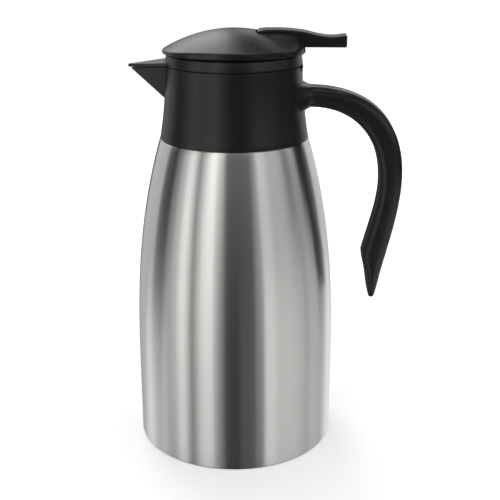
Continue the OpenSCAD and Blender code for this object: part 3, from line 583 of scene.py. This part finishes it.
def seals():
    mouth = [(FLOOR_R, LIP_Z, 0.3), (35.8, LIP_Z, 0.3), (35.8, FLOOR_Z, 0.3), (FLOOR_R, FLOOR_Z, 0.3)]
    finished(spun(rounded(mouth), 96), "mouth_seal_ring", GREY_SILICONE, "jug", ["mouth_seal"])
    plug = [(28.9, LIP_Z, 0.3), (31.4, LIP_Z + 0.2, 0.6), (31.2, FLOOR_Z, 0.2), (28.9, FLOOR_Z, 0.2)]
    finished(spun(rounded(plug), 96), "plug_seal_ring", GREY_SILICONE, "flip_lid", ["plug_seal"])
    valve = [(12.6, VALVE_Z0, 0.25), (14.8, VALVE_Z0, 0.25), (14.8, DISC_Z), (12.6, DISC_Z)]
    finished(spun(rounded(valve), 64), "valve_seal_ring", GREY_SILICONE, "pour_valve", ["valve_seal"])


# ---------------------------------------------------------------- lid


def lid_ring():
    inner = COLLAR_R - 2.5
    loop = [(5, DECK_Z, 0.4), (inner, DECK_Z), (inner, 234), (COLLAR_R, 234), (COLLAR_R, SEAM_Z + 0.8, 1.0),
            (COLLAR_R - 0.7, BAND_TOP, 0.35), (DOME_FOOT_R + 0.3, BAND_TOP, 0.2),
            (DOME_FOOT_R + 0.3, DECK_TOP), (5, DECK_TOP, 0.4)]
    ring = loose(spun(rounded(loop), 160))
    roof = plate([(-36, SPOUT_HW), (-38.6, SPOUT_HW), (-TIP_X + 0.9, 1.5), (-TIP_X + 0.2, 0.9), (-TIP_X, 0.3),
                  (-TIP_X, -0.3), (-TIP_X + 0.2, -0.9), (-TIP_X + 0.9, -1.5), (-38.6, -SPOUT_HW),
                  (-36, -SPOUT_HW)],
                 230, 252, "Z")
    leaf = loose(roof)
    top = [(-80, 230), (-30, 230), (-30, 243.0), (-TIP_X, seam_at(-TIP_X) + 2.0), (-80, seam_at(-80) + 2.0)]
    shaped(leaf, (KEEP, plate(top, -40, 40)), (CUT, rod(COLLAR_R - 1.2, 200, 260, (0, 0), "Z", 160, 0.01)))
    whole = ring.modifiers.new("roof", "BOOLEAN")
    whole.operation, whole.object, whole.solver = "UNION", leaf, "EXACT"
    settle(ring)
    bpy.data.objects.remove(leaf)
    shaped(ring, (KEEP, seam_block(0.3, False)))
    for lo, hi in ((LUG_HW, HINGE_HW + 0.5), (-HINGE_HW - 0.5, -LUG_HW)):
        shaped(ring, (CUT, rod(KNUCKLE_R + KNUCKLE_ROOM, lo, hi, (HINGE_X, 0, HINGE_Z), chamfer=0.01)))
    shaped(ring, (JOIN, rod(KNUCKLE_R, -LUG_HW, LUG_HW, (HINGE_X, 0, HINGE_Z), chamfer=0.15)),
           (CUT, rod(HINGE_PIN_R + 0.05, -20, 20, (HINGE_X, 0, HINGE_Z), chamfer=0.01)))
    softened(ring, 0.22, 2, 38)
    ring.name = "lid_ring_with_roof"
    dressed(ring, PLASTIC, "flip_lid", ["lid_ring"])
    gasket = loose(spun([(38.9, 230), (40.4, 230), (40.4, 245), (38.9, 245)], 128))
    shaped(gasket, (KEEP, seam_block(0.29)), (KEEP, seam_block(-0.28, False)),
           (CUT, box((27, -HINGE_HW - 1, 230), (50, HINGE_HW + 1, 250))))
    gasket.name = "seam_gasket"
    dressed(gasket, BLACK_SILICONE, "flip_lid", ["lid_gasket"])


# upper edge of the rim on each side of the lever's slot
RIM = [(13.2, 259.1), (14.2, 259.9), (16, 260.2), (31, 260.2), (34, 259.9), (36.8, 259.3), (38.6, 258.5),
       (40, 257.5), (41.1, 256.0), (41.7, 254.0), (42.1, 251.4), (42.2, 248.6)]
RIM_STEP = 1.0


def crest_at(x):
    """Height of the housing's side panel where it meets the rim."""
    for (a, za), (b, zb) in zip(RIM[2:], RIM[3:]):
        if x <= b:
            return za + (zb - za) * max(0.0, x - a) / (b - a) - RIM_STEP
    return RIM[-1][1] - RIM_STEP


def skin_at(x, y):
    """Height of the dome without its housing: a flat round that falls more towards spout and handle."""
    r = math.hypot(x, y)
    saddle = 0.13 * (x * x - y * y) / max(r * r, 1e-6)
    return DOME_TOP - DOME_SAG * (r / BRIM_R) ** 2 * (1 + 0.03 * (r / BRIM_R) ** 2) * (1 + saddle)


def rise(x, y):
    """How much the housing beside the lever lifts the dome at x, y."""
    chord = math.sqrt(max(BRIM_R ** 2 - x * x, 1.0))
    u = min(1.0, max(0.0, (abs(y) - SLOT_HW) / max(chord - SLOT_HW, 1.0)))
    crest = crest_at(max(x, 0.6 * x + 0.4 * math.hypot(x, y)))
    flank = crest + (250.4 - crest) * u ** 1.04
    if x < 16:
        flank -= 0.05 * (16 - x) ** 1.5
    return math.log(1 + math.exp((flank - skin_at(x, y)) * 2.2)) / 2.2


def dome():
    radii = [0.0] + [1.6 * i for i in range(1, 23)]
    radii += [36.0, 36.8, 37.5, 38.2, 38.8, 39.4, 39.9, 40.4, 40.8, 41.2, 41.6, 41.9]
    upper = [(r, 260 - 0.1 * i) for i, r in enumerate(radii)]
    brim = [(42.2, 254.0), (BRIM_R, 253.5), (BRIM_R, 251.0), (BRIM_R, BRIM_Z0 + 0.3), (BRIM_R - 0.3, BRIM_Z0),
            (40.2, BRIM_Z0 - 0.8), (DOME_FOOT_R, BRIM_Z0 - 0.8, 0.3), (DOME_FOOT_R, DECK_TOP, 0.2),
            (DOME_FOOT_IN, DECK_TOP, 0.2)]
    under = [(DOME_FOOT_IN, 249.0)]
    under += [(r, 230 - 0.1 * r) for r in [DOME_FOOT_IN] + list(reversed(radii[:22]))]
    bm = spun([(a[0], a[1]) for a in upper + rounded(brim, 3, False) + under], 192, False)
    # each band of the turned profile, known by its height, takes its place on the curved skin
    for v in bm.verts:
        x, y, z = v.co.x / MM, v.co.y / MM, v.co.z / MM
        r = math.hypot(x, y)
        fall = (x * x - y * y) / max(r * r, 1e-6)
        if z > 253.7:
            v.co.z = (skin_at(x, y) + rise(x, y) - (0.1 if r > 42 else 0)) * MM
        elif z > 253.2:
            v.co.z = (skin_at(x, y) + min(rise(x, y), 0.4) - 0.35) * MM
        elif z > 250.5:
            v.co.z = (skin_at(x, y) - 1.5) * MM
        elif z < 240:
            v.co.z = (skin_at(x, y) - DOME_T + max(0.0, rise(x, y) - 0.5)) * MM
        elif r > 39.5 and z < 249:
            v.co.z -= 0.5 * fall * MM
    shell = loose(bm)
    for y in (SLOT_HW, -HOUSING_HW):
        wall = [(15.5, 244.4), (36.8, 244.4), (36.8, 256.4), (30, 257.3), (15.5, 257.4)]
        shaped(shell, (JOIN, plate(wall, y, y + HOUSING_HW - SLOT_HW)))
    for side in (-1, 1):
        a = math.radians(side * SCREW_A)
        x, y = SCREW_R0 * math.cos(a), SCREW_R0 * math.sin(a)
        shaped(shell, (JOIN, rod(3.0, DECK_TOP, 251.0, (x, y), "Z", 32)),
               (CUT, rod(1.22, 240, 249, (x, y), "Z", 24)))
    shaped(shell, (CUT, box((12.9, -SLOT_HW, 245), (38.5, SLOT_HW, 280))),
           (CUT, box((32.5, -SLOT_HW, 248.2), (80, SLOT_HW, 280))),
           (CUT, rod(PIN_R, -HOUSING_HW, HOUSING_HW, (PIN_X, 0, PIN_Z), chamfer=0.01)))
    inner = [(40.6, 248.6), (40.4, 252.5), (39.2, 255.4), (36.6, 257.0), (31, 257.6), (13.2, 257.6)]
    for y in (SLOT_HW, -SLOT_HW - 1.0):
        shaped(shell, (JOIN, plate(RIM + inner, y, y + 1.0)))
    softened(shell, 0.25, 3, 44)
    shell.name = "dome_shell"
    dressed(shell, PLASTIC, "flip_lid", ["dome_cover"], 36)


# lever's outline from the side
LEVER = [(13.5, 259.4), (14.1, 260.15), (15.3, 260.6), (18.9, 261.0), (24.2, 261.1), (29.6, 261.0),
         (33.1, 260.8), (36.7, 260.4), (40.3, 260.0), (43.8, 259.3), (47.4, 258.4), (51, 257.65),
         (54.6, 257.15), (57.4, 256.95), (59.9, 257.0), (63.5, 257.45), (65.9, 257.85), (66.5, 257.3),
         (66.5, 251.6), (65.8, 250.9), (43, 250.9), (40, 251.4), (34, 251.4), (30, 250.4), (22.4, 250.4),
         (19.4, 252.6), (17.6, 256.4), (14.4, 258.2)]


def lever():
    tail = plate(LEVER, -LEVER_HW, LEVER_HW)
    sides = [e for e in tail.edges if len(e.link_faces) == 2 and e.calc_face_angle() > math.radians(60)
             and max(v.co.z for v in e.verts) > PIN_Z * MM]
    bmesh.ops.bevel(tail, geom=sides, offset=1.1 * MM, offset_type="OFFSET", affect="EDGES", segments=4,
                    profile=0.5, material=-1, clamp_overlap=True)
    thing = loose(tail)
    arm = [(24, 249.6), (24, 255), (17, 254.6), (8, 252.2), (-1, 252.2), (-1, 249.3), (8, 249.3)]
    shaped(thing, (JOIN, plate(arm, -4.6, 4.6)),
           (CUT, rod(PIN_R + 0.05, -20, 20, (PIN_X, 0, PIN_Z), chamfer=0.01)),
           (CUT, box((-6, -2.7, 245), (3.5, 2.7, 265))))
    softened(thing, 0.3, 2, 50)
    thing.name = "thumb_lever_arm"
    dressed(thing, PLASTIC, "lever", ["thumb_lever"], 40)


# ---------------------------------------------------------------- plug and valve


def plug():
    loop = [(12, FLOOR_Z, 0.3), (31.2, FLOOR_Z, 0.4), (31.2, PLUG_FLOOR, 0.4), (28, PLUG_FLOOR, 0.6),
            (28, PLUG_TOP, 0.6), (34, PLUG_TOP, 0.4), (34, DECK_Z, 0.2), (3.4, DECK_Z, 0.2),
            (3.4, PLUG_TOP, 0.3), (26, PLUG_TOP, 1.0), (26, PLUG_FLOOR, 1.0), (12, PLUG_FLOOR, 0.3)]
    body = loose(spun(rounded(loop), 128))
    for a in (-38, 0, 38):
        window = box((-36, -7, 219), (-20, 7, 236))
        along = [e for e in window.edges if abs(e.verts[0].co.x - e.verts[1].co.x) > 0.01]
        bmesh.ops.bevel(window, geom=along, offset=2 * MM, offset_type="OFFSET", affect="EDGES",
                        segments=4, profile=0.5, material=-1)
        bmesh.ops.rotate(window, verts=window.verts, cent=(0, 0, 0),
                         matrix=Matrix.Rotation(math.radians(a), 3, "Z"))
        shaped(body, (CUT, window))
    for side in (-1, 1):
        a = math.radians(side * SCREW_A)
        place = (SCREW_R0 * math.cos(a), SCREW_R0 * math.sin(a))
        shaped(body, (CUT, rod(2.2, 230, 250, place, "Z", 24, 0.01)))
    softened(body, 0.25, 2, 40)
    body.name = "plug_cage"
    dressed(body, INNER_PLASTIC, "flip_lid", ["plug_body"])
    bush = [(STEM_R + 0.05, PLUG_TOP - 0.8, 0.1), (7.6, PLUG_TOP - 0.8, 0.2), (7.6, PLUG_TOP),
            (3.4, PLUG_TOP), (3.4, DECK_Z, 0.2), (STEM_R + 0.05, DECK_Z, 0.2)]
    finished(spun(rounded(bush), 48), "stem_bushing_ring", PALE_PLASTIC, "flip_lid", ["stem_bushing"])


def valve():
    stem = [(0, DISC_Z - 0.3), (STEM_R, DISC_Z - 0.3, 0.3), (STEM_R, CLIP_Z), (STEM_R - 0.6, CLIP_Z),
            (STEM_R - 0.6, CLIP_Z + 0.8), (STEM_R, CLIP_Z + 0.8), (STEM_R, STEM_TOP, 0.5), (0, STEM_TOP)]
    finished(spun(rounded(stem, 4, False), 40, False), "valve_stem_rod", BRIGHT_STEEL,
             "pour_valve", ["valve_stem"])
    disc = [(STEM_R, DISC_Z), (15, DISC_Z, 0.3), (15, DISC_TOP, 0.5), (9, DISC_TOP), (8.6, DISC_TOP - 0.25),
            (7.8, DISC_TOP - 0.25), (7.4, DISC_TOP), (4.4, DISC_TOP, 0.4), (4.4, DISC_TOP + 4, 0.5),
            (STEM_R, DISC_TOP + 4, 0.2)]
    finished(spun(rounded(disc), 72), "valve_disc_plate", INNER_PLASTIC, "pour_valve", ["valve_disc"])
    clip = loose(spun(rounded([(STEM_R - 0.6, CLIP_Z, 0.1), (4.2, CLIP_Z, 0.15), (4.2, CLIP_Z + 0.8, 0.15),
                               (STEM_R - 0.6, CLIP_Z + 0.8, 0.1)]), 40))
    shaped(clip, (CUT, box((-10, -0.9, CLIP_Z - 1), (0, 0.9, CLIP_Z + 2))))
    clip.name = "stem_clip_ring"
    dressed(clip, BRIGHT_STEEL, "pour_valve", ["stem_clip"])


def spring():
    """Return spring: one round wire, its end turns lying close."""
    turns, wire, radius = 6, 0.6, 6.0
    ends = 0.9 / turns
    lo, hi = DISC_TOP + wire + 0.02, SPRING_Z1 - wire - 0.02

    def share(u):
        if u < ends:
            return u * 0.35
        if u > 1 - ends:
            return 1 - (1 - u) * 0.35
        return ends * 0.35 + (u - ends) * (1 - 0.7 * ends) / (1 - 2 * ends)

    curve = bpy.data.curves.new("return_spring_wire", "CURVE")
    curve.dimensions, curve.use_fill_caps = "3D", True
    curve.bevel_depth, curve.bevel_resolution = wire * MM, 3
    line = curve.splines.new("POLY")
    count = turns * 32
    line.points.add(count)
    for k in range(count + 1):
        u = k / count
        a = math.tau * turns * u
        z = lo + (hi - lo) * share(u)
        line.points[k].co = (radius * math.cos(a) * MM, radius * math.sin(a) * MM, z * MM, 1)
    helper = bpy.data.objects.new("wire", curve)
    bpy.context.scene.collection.objects.link(helper)
    bpy.context.view_layer.update()
    mesh = bpy.data.meshes.new_from_object(helper.evaluated_get(bpy.context.evaluated_depsgraph_get()))
    bpy.data.objects.remove(helper)
    piece = bpy.data.objects.new("return_spring_wire", mesh)
    bpy.context.scene.collection.objects.link(piece)
    dressed(piece, SPRING_STEEL, "flip_lid", ["return_spring"], 60)


# ---------------------------------------------------------------- studio


CAMERA_PLACE, CAMERA_DOWN, CAMERA_TURN, LENS = (0.02967, -0.57607, 0.3255), 19.39, 2.0, 69.12


def studio():
    scene = bpy.context.scene
    scene.view_settings.view_transform = "Standard"

    lens = bpy.data.cameras.new("camera")
    lens.lens, lens.sensor_width = LENS, 36.0
    lens.clip_start, lens.clip_end = 0.05, 20
    camera = bpy.data.objects.new("camera", lens)
    scene.collection.objects.link(camera)
    camera.location = CAMERA_PLACE
    camera.rotation_euler = (math.radians(90 - CAMERA_DOWN), 0, math.radians(CAMERA_TURN))
    scene.camera = camera

    floor_bm = bmesh.new()
    bmesh.ops.create_circle(floor_bm, cap_ends=True, segments=64, radius=6)
    floor_mesh = bpy.data.meshes.new("floor")
    floor_bm.to_mesh(floor_mesh)
    floor_bm.free()
    floor = bpy.data.objects.new("floor", floor_mesh)
    scene.collection.objects.link(floor)
    floor.visible_glossy = floor.visible_shadow = False
    paint = Look("floor_paint", (0.9, 0.9, 0.9), 0.9, 0.0, Specular_IOR_Level=0.0, Emission_Strength=1.0)
    away = paint.node("ShaderNodeVectorMath", {"operation": "LENGTH"}, {0: paint.place})["Value"] * 0.8
    seen = paint.node("ShaderNodeLightPath", {}, {})["Is Camera Ray"]
    paint.set("Emission Color", seen * paint.ramp(away, *FLOOR_GLOW))
    floor_mesh.materials.append(paint.material)

    world = bpy.data.worlds.new("room")
    scene.world = world
    world.use_nodes = True
    tree = world.node_tree
    sky = tree.nodes["Background"]
    sky.inputs["Color"].default_value = (*[ROOM] * 3, 1)
    white = tree.nodes.new("ShaderNodeBackground")
    white.inputs["Color"].default_value = (0.98, 0.98, 0.98, 1)
    path = tree.nodes.new("ShaderNodeLightPath")
    mix = tree.nodes.new("ShaderNodeMixShader")
    tree.links.new(path.outputs["Is Camera Ray"], mix.inputs[0])
    tree.links.new(sky.outputs[0], mix.inputs[1])
    tree.links.new(white.outputs[0], mix.inputs[2])
    tree.links.new(mix.outputs[0], tree.nodes["World Output"].inputs["Surface"])

    def softbox(name, azimuth, distance, low, high, width, glow, spill=1.0):
        """Upright lamp at an azimuth from the camera's side, positive to the right.

        glow is its brightness in reflections, spill the share of it that lights dull faces."""
        lamp = bpy.data.lights.new(name, "AREA")
        lamp.shape, lamp.size, lamp.size_y = "RECTANGLE", width, high - low
        lamp.energy = glow * width * (high - low) * math.pi
        lamp.diffuse_factor = spill
        thing = bpy.data.objects.new(name, lamp)
        scene.collection.objects.link(thing)
        a = math.radians(azimuth)
        thing.location = (distance * math.sin(a), -distance * math.cos(a), (low + high) / 2)
        thing.rotation_euler = (math.pi / 2, 0, a)
        return thing

    for name, start, end, distance, low, high, glow, spill in STRIPS:
        middle, half = (start + end) / 2, math.radians(abs(end - start) / 2)
        softbox(name, middle, distance, low, high, 2 * distance * math.tan(half), glow, spill)
    top = softbox("overhead", 180, 0.1, 1.0, 2.0, 1.0, TOP_GLOW, 0.45)
    top.rotation_euler = (0, 0, 0)


FLOOR_GLOW, ROOM, TOP_GLOW = ((0.06, 0.46), (0.2, 0.68), (0.6, 0.92), (1.0, 0.985)), 0.04, 1.5
# upright strips of light: first and last azimuth from the camera's side, distance, lower and upper
# edge in metres, brightness, share on dull faces
FAR, NEAR = 1.4, 0.3
STRIPS = [
    ("left_rear", -150, -108, FAR, -1.0, 1.35, 0.5, 1.7),
    ("left_edge", -86, -76, FAR, -1.0, 1.35, 0.27, 1.0),
    ("left_side_soft", -76, -66, FAR, -1.0, 1.35, 0.62, 3.0),
    ("left_side", -66, -55, FAR, -1.0, 1.35, 1.15, 3.6),
    ("left_side_end", -55, -50, FAR, -1.0, 1.35, 0.7, 1.0),
    ("left_gap", -50, -44, FAR, -1.0, 1.35, 0.22, 1.0),
    ("left_front_start", -44, -38, FAR, -1.0, 1.35, 0.7, 0.6),
    ("left_front", -38, -22, FAR, -1.0, 1.35, 1.1, 0.5),
    ("left_front_soft", -22, -16, FAR, -1.0, 1.35, 0.5, 0.3),
    ("front_soft", -16, -10, FAR, -1.0, 1.35, 0.22, 0.3),
    ("left_front_high", -34, -12, FAR, 0.6, 1.8, 0.9, 0.2),
    ("front_high", -12, 30, FAR, 0.55, 1.4, 0.2, 0.1),
    ("front_low", 8, 27, NEAR, -0.25, 0.06, 0.07, 0.0),
    ("right_soft", 26, 33, FAR, -1.0, 1.35, 0.24, 0.05),
    ("right_front", 33, 48, FAR, 0.25, 1.4, 1.05, 0.05),
    ("right_side", 48, 70, FAR, 0.25, 1.4, 0.74, 0.03),
    ("right_side_end", 70, 76, FAR, 0.25, 1.4, 0.62, 0.1),
    ("right_gap", 76, 88, FAR, 0.25, 1.4, 0.2, 0.1),
    ("right_end", 88, 101, FAR, 0.25, 1.4, 0.62, 0.03),
    ("right_rear", 131, 170, FAR, -1.0, 1.35, 0.6, 0.1),
    ("low_right_front", 33, 46, NEAR, -0.25, 0.11, 0.85, 0.0),
    ("low_right_side", 46, 82, NEAR, -0.25, 0.11, 0.68, 0.0),
    ("low_right_gap", 82, 90, NEAR, -0.25, 0.11, 0.4, 0.0),
    ("low_right_end", 90, 104, NEAR, -0.25, 0.11, 0.6, 0.0),
    ("low_right_rear", 104, 145, NEAR, -0.25, 0.04, 0.5, 0.0),
    ("low_left", -116, -76, NEAR, -0.25, 0.01, 0.66, 0.0),
    ("rear_high", -175, -141, FAR, 0.8, 3.6, 2.4, 0.0),
    ("rear_low", -175, -141, FAR, 0.5, 0.8, 1.0, 0.0),
    ("rear_middle", 160, 182, FAR, 0.5, 0.95, 0.9, 0.0),
]

steel_shell()
flask()
base()
collar()
handle()
screws()
pins()
seals()
lid_ring()
dome()
lever()
plug()
valve()
spring()
studio()
